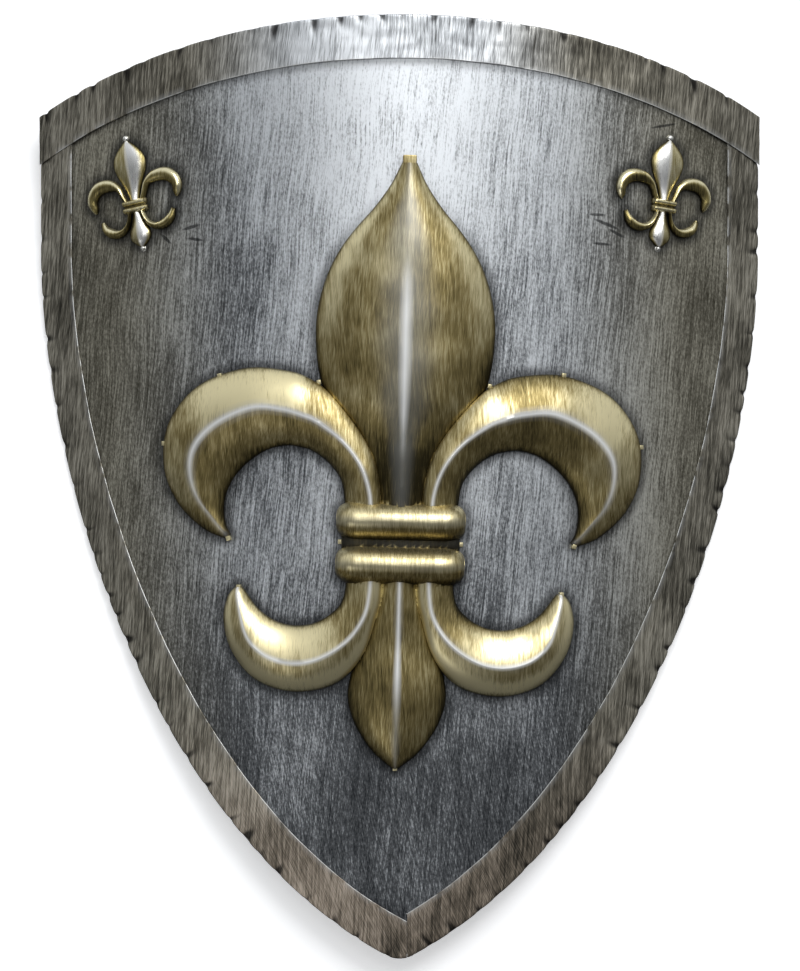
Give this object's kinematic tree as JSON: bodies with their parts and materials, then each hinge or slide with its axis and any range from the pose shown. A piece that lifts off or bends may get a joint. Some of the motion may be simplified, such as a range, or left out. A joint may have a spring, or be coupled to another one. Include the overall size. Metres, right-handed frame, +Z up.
{
  "type": "heater shield",
  "caption": "Curved heater-shaped steel shield with folded metal edging and raised brass fleur-de-lis ornaments.",
  "frame": {"origin": "centre of the bounding box's bottom face, on the floor the shield lies on", "axes": "+X across the shield towards its right-hand side as seen from the front, +Y from the pointed foot towards the arched top, +Z up out of the ornamented face; it lies face up on its two side edges, tip lower"},
  "size_m": [0.4792, 0.6064, 0.1024],
  "materials": {
    "plate_steel": "darkened steel rubbed back to silver in short upright strokes",
    "edging_steel": "darkened steel with a warm brown cast, streaked along the strokes of the brush",
    "antique_brass": "antiqued brass, dark in the hollows, rubbed bright on the crests",
    "bright_brass": "glossy cast brass, partly rubbed to silver, dark in the hollows"
  },
  "bodies": {
    "root": {"shield_plate": "plate_steel", "left_rim": "edging_steel", "right_rim": "edging_steel", "top_rim": "edging_steel", "large_fleur_de_lis": "antique_brass", "left_small_fleur": "bright_brass", "right_small_fleur": "bright_brass"}
  },
  "joints": []
}
